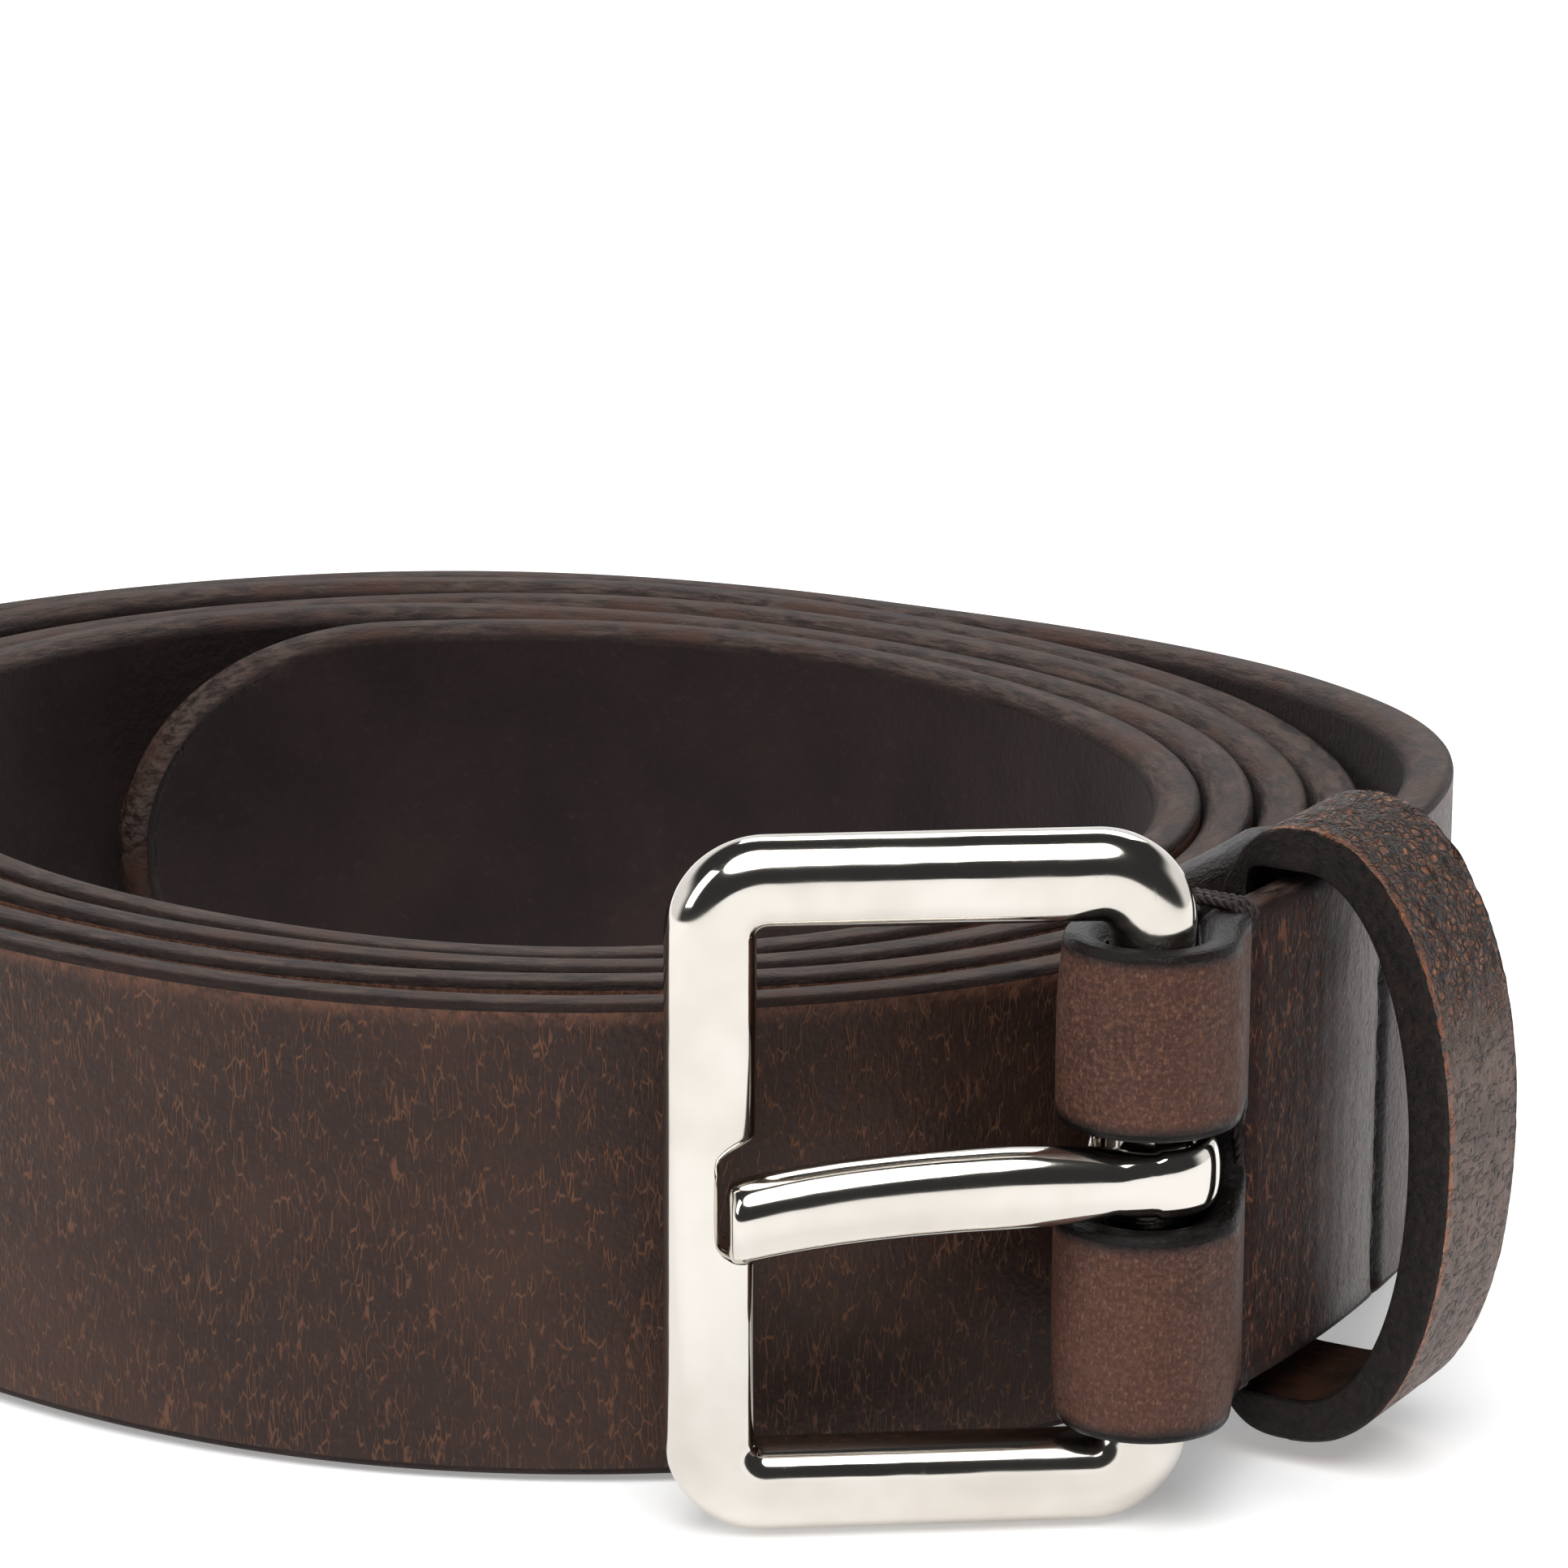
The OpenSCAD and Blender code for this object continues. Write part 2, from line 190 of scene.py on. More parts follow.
path_s, path_rows = build_path()
even_s = np.arange(0, path_s[-1], 0.25)
path = np.stack([np.interp(even_s, path_s, path_rows[:, k]) for k in range(5)], 1)
ways = np.gradient(path[:, :2], axis=0)
normals = left_of(ways)
for _ in range(2):
    normals[1:-1] = unit(normals[:-2] + normals[1:-1] * 2 + normals[2:])
STRAP_LEN = even_s[-1]
ROW_1 = path_s[np.argmin(abs(path_rows[:, 4]) + 1e3 * (path_rows[:, 4] <= 0))]
ROW_2 = path_s[np.argmin(abs(path_rows[:, 4] - ROW_GAP) + 1e3 * (path_rows[:, 4] <= 0))]
LOOP_END_S = STRAP_LEN - TAIL_LEN - 2.5


def at(s, column):
    return np.interp(s, even_s, column)


def wander(s, seed, size, wave):
    """A slow wave along the strap, from -size to size."""
    return size * (np.sin(s / wave + seed) + np.sin(s / wave * 1.73 + 2 * seed)) / 2


def place_strap(s, v, w):
    """The strap's surface: s along, v across from its middle, w from -1 (flesh) to 1 (grain)."""
    x, y = at(s, path[:, 0]), at(s, path[:, 1])
    nx, ny = at(s, normals[:, 0]), at(s, normals[:, 1])
    loose = smooth((STRAP_LEN - 110 - s) / 80)
    # The turns aren't quite level, and the edges wave a little
    lift = loose * (0.28 + wander(s, 1.3, 0.26, 31) + wander(s, 4.1, 0.1, 11))
    half = at(s, path[:, 3]) / 2
    # The grain face is pressed in at the seams, creased between them, and rounded off on the fold
    ragged = 0.12 * np.sin(v * 2.1 + 1) + 0.08 * np.sin(v * 4.7)
    press = (0.5 * bell(s - ROW_1, 0.5) + 0.85 * bell(s - ROW_2 + ragged, 0.42)
             + 0.25 * bell(s - ROW_2, 2.2)) * smooth((12.6 - abs(v)) / 0.8)
    crease = (0.02 * bell(s - ROW_1 + 8, 5) * np.sin(s * 4.1 + 0.8 * np.sin(v * 0.7))
              * smooth((12 - abs(v)) / 3))
    crown = (0.25 * bell(abs(v) - STRAP_W / 2, 2.2) * smooth((s - ROW_1 - 1) / 2)
             * smooth((LOOP_END_S - s) / 2))
    off = (w * half + np.maximum(w, 0) * (crease - press - crown)
           + loose * 0.05 * np.sin(s / 7.0 + v / 9.0))
    return to_world(np.stack([x + nx * off, y + ny * off,
                              at(s, path[:, 2]) + STRAP_W / 2 + v + lift], -1))


# ------------------------------------------------------------------------------- mesh builders
def new_object(name, points, faces, kinds=None, materials=(), fields=None):
    """A smooth mesh with one material number for each face and named vector fields."""
    mesh = bpy.data.meshes.new(name)
    mesh.from_pydata([tuple(p) for p in points], [], faces)
    for m in materials:
        mesh.materials.append(m)
    if kinds is not None:
        mesh.polygons.foreach_set("material_index", kinds)
    mesh.polygons.foreach_set("use_smooth", [True] * len(mesh.polygons))
    for key, values in (fields or {}).items():
        layer = mesh.attributes.new(key, "FLOAT_VECTOR", "POINT")
        layer.data.foreach_set("vector", np.asarray(values, float).ravel())
    mesh.validate()
    obj = bpy.data.objects.new(name, mesh)
    scene.collection.objects.link(obj)
    return obj


def boundary_loops(faces):
    """Each border of the faces as a closed loop of vertices, in the direction that they turn."""
    edges = dict.fromkeys((a, b) for f in faces for a, b in zip(f, f[1:] + f[:1]))
    after = {a: b for (a, b) in edges if (b, a) not in edges}
    loops = []
    while after:
        a = next(iter(after))
        loop = []
        while a in after:
            loop.append(a)
            a = after.pop(a)
        loops.append(loop)
    return loops


def leather(name, S, V, cells, same, place, rim, fields, materials):
    """A thick sheet from a grid of (S along, V across) points.

    cells[i][j] says which squares are leather. same is None, or a column and the rows at which it
    is joined to the next one, before and after the hole between them. rim is the edge's profile,
    from the grain face to the flesh face, as (inset, w).
    """
    rows, cols = S.shape
    index = np.arange(rows * cols).reshape(rows, cols)
    if same is not None:
        mid, joined = same
        index[joined, mid + 1] = index[joined, mid]
    faces = []
    for i in range(rows - 1):
        for j in range(cols - 1):
            if cells[i, j]:
                f = [index[i, j], index[i, j + 1], index[i + 1, j + 1], index[i + 1, j]]
                f = [int(a) for k, a in enumerate(f) if a != f[k - 1]]
                if len(f) > 2:
                    faces.append(f)
    P = np.stack([S.ravel(), V.ravel()], -1)
    loops = boundary_loops(faces)
    inward = np.zeros_like(P)                # the faces lie on the right of their borders
    for loop in loops:
        way = unit(np.roll(P[loop], -1, 0) - np.roll(P[loop], 1, 0) + 1e-12)
        inward[loop] = np.stack([way[:, 1], -way[:, 0]], -1)
    total = len(P)
    sv = [P + inward * rim[0][0], P + inward * rim[-1][0]]
    w = [np.full(total, 1.0), np.full(total, -1.0)]
    all_faces = faces + [[a + total for a in f[::-1]] for f in faces]
    kinds = [0] * len(faces) + [1] * len(faces)
    base = 2 * total
    for loop in loops:
        m = len(loop)
        rings = [np.array(loop)]
        for e, ww in rim[1:-1]:
            sv.append(P[loop] + inward[loop] * e)
            w.append(np.full(m, ww))
            rings.append(np.arange(base, base + m))
            base += m
        rings.append(np.array(loop) + total)
        for r0, r1 in zip(rings, rings[1:]):
            for k in range(m):
                after = (k + 1) % m
                all_faces.append([int(r1[k]), int(r1[after]), int(r0[after]), int(r0[k])])
                kinds.append(2)
    s, v = np.concatenate(sv).T
    w = np.concatenate(w)
    values = {key: field(s, v, w) for key, field in fields.items()}
    obj = new_object(name, place(s, v, w), all_faces, kinds, materials, values)
    clean(obj)
    return obj


def clean(obj):
    """Delete the points that no face uses, and turn every face outwards."""
    bm = bmesh.new()
    bm.from_mesh(obj.data)
    bmesh.ops.delete(bm, geom=[v for v in bm.verts if not v.link_faces], context="VERTS")
    bmesh.ops.recalc_face_normals(bm, faces=bm.faces)
    bm.to_mesh(obj.data)
    bm.free()


def swept(name, rings, material, closed=False):
    """A tube through rings of points [n rings, k points, 3], capped unless it closes on itself."""
    rings = np.asarray(rings, float)
    m, k = rings.shape[:2]
    faces = []
    for i in range(m if closed else m - 1):
        for j in range(k):
            a, b = i * k + j, i * k + (j + 1) % k
            c, d = ((i + 1) % m) * k + (j + 1) % k, ((i + 1) % m) * k + j
            faces.append([a, b, c, d])
    points = rings.reshape(-1, 3)
    if not closed:
        points = np.r_[points, rings[0].mean(0)[None], rings[-1].mean(0)[None]]
        for j in range(k):
            faces.append([m * k, (j + 1) % k, j])
            faces.append([m * k + 1, (m - 1) * k + j, (m - 1) * k + (j + 1) % k])
    obj = new_object(name, points, faces, None, [material])
    clean(obj)
    return obj


def tube_rings(points, radius, sides, up=(0, 0, 1)):
    """Rings round a path, turned so that they never twist suddenly."""
    points = np.asarray(points, float)
    way = unit(np.gradient(points, axis=0))
    side = np.array(up, float)
    rings = []
    for p, t in zip(points, way):
        side = side - t * side.dot(t)
        side = side / np.linalg.norm(side)
        other = np.cross(t, side)
        a = np.arange(sides) * 2 * math.pi / sides
        rings.append(p + radius * (np.outer(np.cos(a), side) + np.outer(np.sin(a), other)))
    return rings


def thread_mesh(points, radius, lay=1.5, plies=3, step=0.09):
    """Vertices and faces of a laid thread along a path, in millimetres."""
    points = np.asarray(points, float)
    s = np.r_[0, np.cumsum(np.linalg.norm(np.diff(points, axis=0), axis=1))]
    q = np.arange(0, s[-1], step)
    line = np.stack([np.interp(q, s, points[:, k]) for k in range(3)], 1)
    way = unit(np.gradient(line, axis=0))
    side = np.array([0.3, 0.2, 1.0])
    frames = []
    for t in way:
        side = side - t * side.dot(t)
        side = side / np.linalg.norm(side)
        frames.append((side, np.cross(t, side)))
    verts, faces = [], []
    sides = 6
    for ply in range(plies):
        strand = []
        for i, (a, b) in enumerate(frames):
            ang = 2 * math.pi * (q[i] / lay + ply / plies)
            strand.append(line[i] + 0.5 * radius * (math.cos(ang) * a + math.sin(ang) * b))
        rings = tube_rings(strand, 0.56 * radius, sides)
        base = len(verts)
        for i, r in enumerate(rings):
            verts.extend(r)
            if i:
                for j in range(sides):
                    k0, k1 = base + (i - 1) * sides, base + i * sides
                    faces.append([k0 + j, k0 + (j + 1) % sides, k1 + (j + 1) % sides, k1 + j])
        faces.append([base + j for j in range(sides)][::-1])
        faces.append([base + (len(rings) - 1) * sides + j for j in range(sides)])
    return verts, faces


# ----------------------------------------------------------------------------------- materials
class Shader:
    """A node material, built by calls that return sockets."""

    def __init__(self, name):
        self.mat = bpy.data.materials.new(name)
        self.mat.use_nodes = True
        self.tree = self.mat.node_tree
        self.out = self.tree.nodes["Principled BSDF"]

    def set(self, node, key, value):
        socket = node.inputs[key]
        if isinstance(value, bpy.types.NodeSocket):
            self.tree.links.new(value, socket)
        elif isinstance(value, (tuple, list)) and len(value) == 3 and len(
                getattr(socket, "default_value", ())) == 4:
            socket.default_value = (*value, 1.0)
        else:
            socket.default_value = value

    def node(self, kind, settings=None, **inputs):
        n = self.tree.nodes.new("ShaderNode" + kind)
        for k, v in (settings or {}).items():
            setattr(n, k, v)
        for k, v in inputs.items():
            self.set(n, k.replace("_", " "), v)
        return n

    def field(self, name):
        return self.node("Attribute", {"attribute_name": name}).outputs["Vector"]

    def object_space(self):
        return self.node("TexCoord").outputs["Object"]

    def scaled(self, vector, scale):
        n = self.node("VectorMath", {"operation": "MULTIPLY"})
        self.set(n, 0, vector)
        self.set(n, 1, scale)
        return n.outputs[0]

    def part(self, vector, axis):
        return self.node("SeparateXYZ", Vector=vector).outputs[axis]

    def noise(self, vector, scale, detail=4.0, rough=0.55, distort=0.0):
        return self.node("TexNoise", Vector=vector, Scale=scale, Detail=detail,
                         Roughness=rough, Distortion=distort).outputs["Fac"]

    def cells(self, vector, scale, feature="F1"):
        return self.node("TexVoronoi", {"feature": feature}, Vector=vector,
                         Scale=scale).outputs["Distance"]

    def math(self, op, a, b=0.5):
        n = self.node("Math", {"operation": op})
        self.set(n, 0, a)
        self.set(n, 1, b)
        return n.outputs[0]

    def fit(self, value, lo, hi, a=0.0, b=1.0):
        n = self.node("MapRange", {"interpolation_type": "SMOOTHSTEP"})
        for k, v in zip(("Value", "From Min", "From Max", "To Min", "To Max"),
                        (value, lo, hi, a, b)):
            self.set(n, k, v)
        return n.outputs["Result"]

    def mix(self, fac, a, b):
        n = self.node("Mix", {"data_type": "RGBA"})
        self.set(n, 0, fac)
        self.set(n, 6, a)
        self.set(n, 7, b)
        return n.outputs[2]

    def bump(self, height, distance, strength=1.0):
        return self.node("Bump", Height=height, Distance=distance, Strength=strength).outputs[0]

    def bent(self, vector, scale, by):
        """The vector pushed about by a noise, by so much along each axis."""
        push = self.scaled(self.node("TexNoise", Vector=vector, Scale=scale).outputs["Color"], by)
        n = self.node("VectorMath", {"operation": "ADD"})
        self.set(n, 0, vector)
        self.set(n, 1, push)
        return n.outputs[0]

    def finish(self, **inputs):
        for k, v in inputs.items():
            self.set(self.out, k.replace("_", " "), v)
        return self.mat


def srgb(r, g, b):
    def lin(c):
        c /= 255
        return c / 12.92 if c < 0.04045 else ((c + 0.055) / 1.055) ** 2.4
    return (lin(r), lin(g), lin(b))


def hairs(m, spot, scale, width):
    """Thin broken cracks that run across the strap and meet here and there."""
    bent = m.bent(spot, scale * 0.7, (0.35 / scale, 0.7 / scale, 0.0))
    lines = m.cells(m.scaled(bent, (1.0, 0.2, 0.0)), scale, "DISTANCE_TO_EDGE")
    thin = m.fit(lines, width * 0.3, width, 1.0, 0.0)
    broken = m.fit(m.noise(m.scaled(spot, (1.0, 0.4, 1.0)), scale * 0.5, 3, 0.6), 0.42, 0.6)
    return m.math("MULTIPLY", thin, broken)


def shaded_seam_groove(m, spot, along, row, width):
    """Painted shade: a dark ragged line in the groove where a row of stitches pulls the leather in.
    """
    ragged = m.math("MULTIPLY", m.noise(spot, 1300, 3, 0.6), 0.0006)
    off = m.math("SUBTRACT", m.math("ADD", along, ragged), row / 1000 + 0.0003)
    return m.fit(m.math("ABSOLUTE", off), width * 0.45, width, 1.0, 0.0)


def grain_material():
    """Waxed brown grain: fine tan hairlines across the strap, a worn top edge, a lighter fold."""
    m = Shader("strap_grain")
    spot = m.field("leather")
    fold, between, edge = (m.part(m.field("zone"), k) for k in "XYZ")
    along, up = m.part(spot, "X"), m.part(spot, "Y")
    mottle = m.noise(spot, 55, 5, 0.6)
    fine = m.noise(spot, 1900, 4, 0.65)
    hair = hairs(m, spot, 3600, 0.085)
    # The coil's outer face
    colour = m.mix(m.fit(mottle, 0.35, 0.7), srgb(46, 32, 28), srgb(63, 44, 37))
    colour = m.mix(m.math("MULTIPLY", m.fit(fine, 0.5, 0.75), 0.4), colour, srgb(78, 53, 43))
    colour = m.mix(m.math("MULTIPLY", hair, 0.5), colour, srgb(122, 82, 58))
    worn = m.math("MULTIPLY", m.fit(edge, 0.0004, 0.0015, 1.0, 0.0), m.fit(up, 0.0, 0.001))
    worn = m.math("MULTIPLY", worn, m.fit(fine, 0.35, 0.6, 0.15, 0.7))
    colour = m.mix(worn, colour, srgb(106, 72, 56))
    # Painted highlight: a greyer sheen where the strap turns into the coil, beyond the rear seam
    grey_highlight = m.mix(m.fit(fine, 0.4, 0.7), srgb(70, 60, 58), srgb(100, 88, 84))
    grey_highlight = m.mix(m.math("MULTIPLY", hair, 0.4), grey_highlight, srgb(48, 36, 33))
    colour = m.mix(m.fit(along, ROW_2 / 1000 - 0.022, ROW_2 / 1000 - 0.003), colour, grey_highlight)
    # Between the seams: reddish brown by the fold, with a painted pale grey highlight towards the
    # rear seam
    red = m.mix(m.fit(fine, 0.4, 0.68), srgb(30, 16, 14), srgb(56, 32, 26))
    red = m.mix(m.math("MULTIPLY", hair, 0.7), red, srgb(124, 78, 54))
    pale_highlight = m.mix(m.fit(fine, 0.35, 0.7), srgb(92, 84, 81), srgb(132, 122, 117))
    pale_highlight = m.mix(m.math("MULTIPLY", hair, 0.6), pale_highlight, srgb(62, 44, 38))
    ripple = m.math("ADD", along, m.math("MULTIPLY", m.noise(spot, 240, 3, 0.6), 0.005))
    middle = (ROW_1 * 0.5 + ROW_2 * 0.5) / 1000
    by_fold = m.fit(ripple, middle - 0.0022, middle + 0.0042)
    seam = m.mix(by_fold, pale_highlight, red)
    seam = m.mix(m.fit(edge, 0.0002, 0.0012, 1.0, 0.0), seam, srgb(30, 20, 18))
    colour = m.mix(between, colour, seam)
    # The fold
    soft = m.mix(m.fit(mottle, 0.3, 0.7), srgb(60, 37, 30), srgb(75, 48, 39))
    soft = m.mix(m.fit(m.noise(spot, 4200, 3, 0.7), 0.42, 0.66), soft, srgb(90, 60, 48))
    fleck = m.fit(m.noise(m.scaled(spot, (1.0, 0.4, 1.0)), 7500, 3, 0.6), 0.53, 0.68)
    soft = m.mix(m.math("MULTIPLY", fleck, 0.4), soft, srgb(140, 100, 76))
    rim = m.fit(m.math("ADD", edge, m.math("MULTIPLY", m.noise(spot, 500, 3, 0.6), 0.0006)),
                0.0006, 0.0014, 1.0, 0.0)
    soft = m.mix(rim, soft, srgb(24, 17, 16))
    colour = m.mix(fold, colour, soft)
    # Painted shade in the stitch grooves of both rows
    groove_shade = m.math("MAXIMUM", shaded_seam_groove(m, spot, along, ROW_1, 0.0006),
                    shaded_seam_groove(m, spot, along, ROW_2, 0.0016))
    colour = m.mix(m.math("MULTIPLY", groove_shade, 0.93), colour, srgb(14, 9, 9))
    gloss = m.fit(m.math("ADD", fine, m.math("MULTIPLY", mottle, 0.4)), 0.4, 1.0, 0.36, 0.58)
    gloss = m.math("ADD", gloss, m.math("MULTIPLY", m.math("MULTIPLY", between, by_fold), 0.2))
    gloss = m.math("ADD", gloss, m.math("MULTIPLY", fold, m.fit(rim, 0.0, 1.0, 0.08, -0.14)))
    pores = m.cells(spot, 2600)
    height = m.math("ADD", m.math("MULTIPLY", pores, 0.3), m.math("MULTIPLY", fine, 0.55))
    height = m.math("SUBTRACT", height, m.math("MULTIPLY", hair, 0.3))
    normal = m.bump(height, 0.00018, 0.75)
    return m.finish(Base_Color=colour, Roughness=gloss, Normal=normal, Specular_IOR_Level=0.22)


def flesh_material():
    m = Shader("strap_flesh")
    spot = m.field("leather")
    nap = m.noise(spot, 1400, 5, 0.7)
    mottle = m.noise(spot, 80, 4, 0.6)
    colour = m.mix(m.fit(mottle, 0.3, 0.7), srgb(28, 18, 18), srgb(42, 29, 28))
    colour = m.mix(m.math("MULTIPLY", m.fit(nap, 0.55, 0.75), 0.35), colour, srgb(66, 48, 42))
    return m.finish(Base_Color=colour, Roughness=0.7, Normal=m.bump(nap, 0.00025, 0.8),
                    Specular_IOR_Level=0.18, Sheen_Weight=0.05)


def edge_material():
    """The cut edge: layered grey-brown fibres along the strap, burnished dark at its corners."""
    m = Shader("strap_cut_edge")
    spot = m.field("leather")
    fold, edge = (m.part(m.field("zone"), k) for k in "XZ")
    w = m.part(spot, "Z")
    streak = m.noise(m.scaled(spot, (0.16, 1.0, 0.55)), 2600, 5, 0.65, 0.4)
    blotch = m.noise(spot, 190, 4, 0.6)
    fine = m.noise(spot, 3800, 3, 0.6)
    colour = m.mix(m.fit(streak, 0.35, 0.68), srgb(34, 25, 23), srgb(84, 69, 63))
    colour = m.mix(m.fit(blotch, 0.45, 0.7), colour, srgb(70, 48, 40))
    split = m.fit(m.noise(m.scaled(spot, (0.1, 1.0, 1.0)), 1500, 3, 0.6, 0.3), 0.62, 0.7)
    colour = m.mix(m.math("MULTIPLY", split, 0.6), colour, srgb(28, 19, 18))
    corner = m.math("MULTIPLY", m.fit(m.math("ABSOLUTE", w), 0.0009, 0.00122),
                    m.fit(fine, 0.25, 0.5, 0.6, 1.0))
    colour = m.mix(m.math("MULTIPLY", corner, 0.8), colour, srgb(28, 20, 19))
    dark = m.mix(m.fit(blotch, 0.4, 0.7), srgb(18, 14, 14), srgb(34, 27, 25))
    colour = m.mix(fold, colour, dark)
    height = m.math("ADD", m.math("MULTIPLY", streak, 0.7), m.math("MULTIPLY", fine, 0.3))
    gloss = m.math("SUBTRACT", m.fit(streak, 0.3, 0.7, 0.56, 0.7), m.math("MULTIPLY", fold, 0.3))
    return m.finish(Base_Color=colour, Roughness=gloss, Normal=m.bump(height, 0.00028, 0.85),
                    Specular_IOR_Level=0.14)


def pebble_material():
    """The keeper's grain: a fine wrinkled shoulder with painted shade between its wrinkles and
    painted highlights on their ridges, smoother and cracked lower down.
    """
    m = Shader("keeper_grain")
    spot = m.field("leather")
    coarse = m.part(m.field("zone"), "X")
    warp = m.noise(spot, 420, 3, 0.6)
    bent = m.bent(spot, 900.0, (0.0007, 0.0007, 0.0007))
    grains = m.cells(m.scaled(bent, (1.0, 0.75, 1.0)), 2300, "DISTANCE_TO_EDGE")
    wrinkle = m.noise(m.scaled(bent, (1.0, 0.55, 1.0)), 1500, 4, 0.6, 0.6)
    fine = m.noise(spot, 3000, 4, 0.6)
    ridge = m.math("MULTIPLY", m.fit(grains, 0.0, 0.2), m.fit(wrinkle, 0.36, 0.58))
    # Smooth part: greyish brown with fine cracks round the band and dark pores
    crack = m.noise(m.scaled(spot, (1.0, 0.3, 1.0)), 3300, 3, 0.6, 0.2)
    colour = m.mix(m.fit(warp, 0.35, 0.65), srgb(72, 54, 46), srgb(102, 80, 70))
    colour = m.mix(m.math("MULTIPLY", m.fit(crack, 0.56, 0.64), 0.6), colour, srgb(34, 23, 21))
    pit = m.fit(m.cells(spot, 1300), 0.16, 0.26, 1.0, 0.0)
    colour = m.mix(m.math("MULTIPLY", pit, 0.6), colour, srgb(34, 23, 20))
    colour = m.mix(m.fit(fine, 0.56, 0.72, 0.0, 0.5), colour, srgb(112, 78, 58))
    # Shoulder: painted shade in the wrinkle valleys and painted highlights on the ridge tops
    shoulder_shade_highlight = m.mix(ridge, srgb(24, 14, 11), srgb(104, 64, 44))
    shoulder_shade_highlight = m.mix(m.math("MULTIPLY", ridge, m.fit(fine, 0.5, 0.66)), shoulder_shade_highlight,
                     srgb(164, 106, 68))
    colour = m.mix(coarse, colour, shoulder_shade_highlight)
    near = m.fit(m.part(spot, "Y"), -KEEPER_W / 2000 + 0.0004, -KEEPER_W / 2000 + 0.0012, 1.0, 0.0)
    rim = m.math("MULTIPLY", near, m.fit(m.noise(spot, 1100, 3, 0.7), 0.38, 0.52))
    colour = m.mix(m.math("MULTIPLY", rim, 0.85), colour, srgb(148, 88, 54))
    height = m.math("MULTIPLY", ridge, coarse)
    height = m.math("SUBTRACT", height, m.math("MULTIPLY", m.fit(crack, 0.54, 0.64), 0.45))
    height = m.math("SUBTRACT", height, m.math("MULTIPLY", pit, 0.4))
    height = m.math("ADD", height, m.math("MULTIPLY", fine, 0.3))
    return m.finish(Base_Color=colour, Roughness=m.fit(fine, 0.3, 0.7, 0.38, 0.56),
                    Normal=m.bump(height, 0.00036, 1.0), Specular_IOR_Level=0.24)


def suede_material():
    m = Shader("keeper_suede")
    spot = m.field("leather")
    nap = m.noise(spot, 1800, 5, 0.7)
    patch = m.noise(spot, 260, 3, 0.6)
    low = m.fit(m.part(spot, "X"), 0.05 * ks[-1] / 1000, 0.33 * ks[-1] / 1000, 1.0, 0.0)
    colour = m.mix(m.fit(patch, 0.35, 0.65), srgb(30, 20, 17), srgb(52, 34, 26))
    bare = m.mix(m.fit(patch, 0.35, 0.65), srgb(46, 25, 15), srgb(84, 48, 28))
    bare = m.mix(m.math("MULTIPLY", m.fit(nap, 0.5, 0.7), 0.5), bare, srgb(124, 76, 44))
    colour = m.mix(low, colour, bare)
    return m.finish(Base_Color=colour, Roughness=0.9, Normal=m.bump(nap, 0.0005, 1.0),
                    Specular_IOR_Level=0.08)


def keeper_edge_material():
    m = Shader("keeper_cut_edge")
    spot = m.field("leather")
    fibre = m.noise(spot, 2300, 5, 0.7, 0.4)
    patch = m.noise(spot, 300, 3, 0.6)
    colour = m.mix(m.fit(fibre, 0.35, 0.7), srgb(14, 10, 9), srgb(50, 37, 33))
    colour = m.mix(m.math("MULTIPLY", m.fit(patch, 0.55, 0.75), 0.35), colour, srgb(72, 48, 36))
    return m.finish(Base_Color=colour, Roughness=m.fit(fibre, 0.3, 0.7, 0.42, 0.66),
                    Normal=m.bump(fibre, 0.0008, 1.0), Specular_IOR_Level=0.3)


def nickel_material():
    m = Shader("polished_nickel")
    p = m.object_space()
    haze = m.noise(p, 130, 3, 0.6)
    scratch = m.noise(m.scaled(p, (1.0, 1.0, 0.08)), 4200, 2, 0.5)
    dents = m.noise(p, 170, 2, 0.5)
    colour = m.mix(m.fit(haze, 0.35, 0.7), (0.70, 0.665, 0.615), (0.62, 0.58, 0.525))
    rough = m.math("ADD", m.fit(haze, 0.35, 0.7, 0.07, 0.13),
                   m.math("MULTIPLY", m.fit(scratch, 0.6, 0.75), 0.05))
    return m.finish(Base_Color=colour, Metallic=1.0, Roughness=rough,
                    Normal=m.bump(dents, 0.00022, 0.5))


def steel_material():
    m = Shader("steel_wire")
    grainy = m.noise(m.object_space(), 2600, 3, 0.6)
    return m.finish(Base_Color=m.mix(grainy, (0.42, 0.41, 0.40), (0.58, 0.57, 0.56)),
                    Metallic=1.0, Roughness=0.35, Normal=m.bump(grainy, 0.00005, 0.5))


def thread_material():
    m = Shader("waxed_thread")
    fuzz = m.noise(m.object_space(), 5200, 4, 0.65)
    colour = m.mix(m.fit(fuzz, 0.35, 0.7), srgb(24, 15, 15), srgb(52, 37, 35))
    return m.finish(Base_Color=colour, Roughness=0.55, Normal=m.bump(fuzz, 0.00008, 0.8),
                    Specular_IOR_Level=0.3)


def floor_material():
    m = Shader("floor_paper")
    grainy = m.noise(m.object_space(), 900, 3, 0.6)
    return m.finish(Base_Color=m.mix(grainy, (0.93, 0.93, 0.93), (0.95, 0.95, 0.95)),
                    Roughness=0.8, Specular_IOR_Level=0.1, Emission_Color=(1.0, 1.0, 1.0),
                    Emission_Strength=0.3)


# --------------------------------------------------------------------------------------- strap
def half_width(s):
    """Half the strap's width, with its rounded tip."""
    return STRAP_W / 2 * np.sqrt(1 - np.clip(1 - s / TIP_LEN, 0, 1) ** 2)


